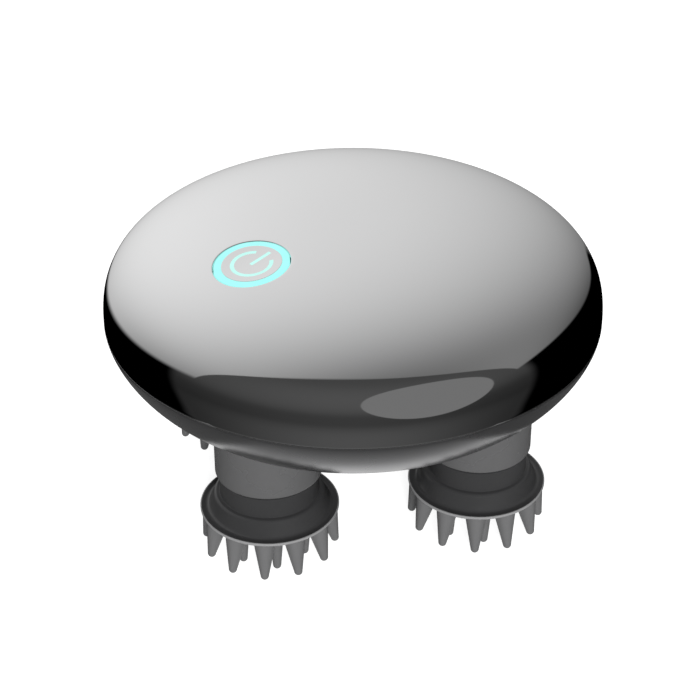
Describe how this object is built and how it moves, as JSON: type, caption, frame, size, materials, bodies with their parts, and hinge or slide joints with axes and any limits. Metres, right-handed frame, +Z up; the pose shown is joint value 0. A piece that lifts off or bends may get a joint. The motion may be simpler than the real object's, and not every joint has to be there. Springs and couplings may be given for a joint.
{
  "type": "electric scalp massager",
  "caption": "Round palm-held electric scalp massager: mirror-finished domed casing, lit power button, dark lower shell and rotating claw heads with silicone teeth on stub necks.",
  "frame": {"origin": "on the casing's axis, in the plane that the longest teeth stand on", "axes": "+Z up out of the dome, from the claws to the top; the heads stand on the diagonals of X and Y; the power button lies 150 degrees clockwise from +X, seen from above"},
  "size_m": [0.12, 0.12, 0.0747],
  "materials": {
    "mirror_shell": "mirror plated, dark silver",
    "dark_shell": "satin moulded, dark grey",
    "dark_silicone": "satin silicone, dark grey",
    "black_rubber": "matt",
    "light_guide": "translucent, lit pale cyan",
    "symbol_lens": "translucent, lit pale cyan",
    "white_plastic": "natural moulded",
    "grey_plastic": "moulded",
    "black_plastic": "moulded",
    "gear_plastic": "acetal, natural",
    "bronze": "sintered",
    "axle_steel": "ground",
    "screw_steel": "zinc plated",
    "bracket_steel": "pressed",
    "motor_steel": "drawn, nickel plated",
    "switch_metal": "stamped cover",
    "socket_steel": "formed",
    "magnet": "sintered",
    "rotor_iron": "wound laminations",
    "battery_foil": "laminated pouch",
    "circuit_board": "green solder mask",
    "led_white": "moulded",
    "lead_insulation": "insulated wire"
  },
  "bodies": {
    "casing": {"battery": "battery_foil", "battery_tray": "grey_plastic", "board_chips": "black_plastic", "board_screws": "screw_steel", "bracket_screws": "screw_steel", "charging_board": "circuit_board", "charging_socket": "socket_steel", "gearbox_plate": "grey_plastic", "idler_pins": "axle_steel", "inner_leads": "lead_insulation", "lower_bushes": "bronze", "lower_shell": "dark_shell", "main_board": "circuit_board", "motor_bracket": "bracket_steel", "motor_can": "motor_steel", "motor_end_cap": "white_plastic", "motor_magnets": "magnet", "motor_screws": "screw_steel", "plate_screws": "screw_steel", "ring_lights": "led_white", "seam_gasket": "black_rubber", "shaft_seals": "black_rubber", "shell_screws": "screw_steel", "sun_axle": "axle_steel", "tact_switch": "switch_metal", "upper_bushes": "bronze", "upper_shell": "mirror_shell"},
    "power_button": {"button_face": "mirror_shell", "button_light_ring": "light_guide", "power_symbol": "symbol_lens", "button_carrier": "white_plastic", "switch_stem": "black_plastic"},
    "motor_armature": {"motor_shaft": "axle_steel", "motor_rotor": "rotor_iron", "motor_pinion": "bronze"},
    "first_idler_wheel": {"first_idler": "gear_plastic"},
    "second_idler_wheel": {"second_idler": "gear_plastic"},
    "sun_wheel": {"sun_gear": "gear_plastic"},
    "massage_head_1": {"head_shaft_1": "axle_steel", "head_gear_1": "gear_plastic", "retaining_clip_1": "axle_steel", "claw_hub_1": "white_plastic", "silicone_claw_1": "dark_silicone"},
    "massage_head_2": {"head_shaft_2": "axle_steel", "head_gear_2": "gear_plastic", "retaining_clip_2": "axle_steel", "claw_hub_2": "white_plastic", "silicone_claw_2": "dark_silicone"},
    "massage_head_3": {"head_shaft_3": "axle_steel", "head_gear_3": "gear_plastic", "retaining_clip_3": "axle_steel", "claw_hub_3": "white_plastic", "silicone_claw_3": "dark_silicone"},
    "massage_head_4": {"head_shaft_4": "axle_steel", "head_gear_4": "gear_plastic", "retaining_clip_4": "axle_steel", "claw_hub_4": "white_plastic", "silicone_claw_4": "dark_silicone"}
  },
  "joints": [
    {"name": "button_press", "type": "slide", "parent": "casing", "child": "power_button", "axis": [0, 0, -1], "range_m": [0, 0.0005], "stiffness_N_per_m": 2000, "springref_m": -0.0003},
    {"name": "motor_spin", "type": "hinge", "parent": "casing", "child": "motor_armature", "pos_m": [-0.003, 0, 0.06], "axis": [0, 0, 1], "continuous": true},
    {"name": "first_idler_spin", "type": "hinge", "parent": "casing", "child": "first_idler_wheel", "pos_m": [0.012, 0, 0.05], "axis": [0, 0, 1], "continuous": true},
    {"name": "second_idler_spin", "type": "hinge", "parent": "casing", "child": "second_idler_wheel", "pos_m": [0.03, 0, 0.045], "axis": [0, 0, 1], "continuous": true},
    {"name": "sun_spin", "type": "hinge", "parent": "casing", "child": "sun_wheel", "pos_m": [0, 0, 0.042], "axis": [0, 0, 1], "continuous": true},
    {"name": "head_1_spin", "type": "hinge", "parent": "casing", "child": "massage_head_1", "pos_m": [0.02546, 0.02546, 0.03], "axis": [0, 0, 1], "continuous": true},
    {"name": "head_2_spin", "type": "hinge", "parent": "casing", "child": "massage_head_2", "pos_m": [-0.02546, 0.02546, 0.03], "axis": [0, 0, 1], "continuous": true},
    {"name": "head_3_spin", "type": "hinge", "parent": "casing", "child": "massage_head_3", "pos_m": [-0.02546, -0.02546, 0.03], "axis": [0, 0, 1], "continuous": true},
    {"name": "head_4_spin", "type": "hinge", "parent": "casing", "child": "massage_head_4", "pos_m": [0.02546, -0.02546, 0.03], "axis": [0, 0, 1], "continuous": true}
  ],
  "couplings": [
    {"joint": "first_idler_spin", "follows": "motor_spin", "ratio": -0.2},
    {"joint": "second_idler_spin", "follows": "motor_spin", "ratio": 0.05},
    {"joint": "sun_spin", "follows": "motor_spin", "ratio": -0.0125},
    {"joint": "head_1_spin", "follows": "motor_spin", "ratio": 0.025},
    {"joint": "head_2_spin", "follows": "motor_spin", "ratio": 0.025},
    {"joint": "head_3_spin", "follows": "motor_spin", "ratio": 0.025},
    {"joint": "head_4_spin", "follows": "motor_spin", "ratio": 0.025}
  ]
}
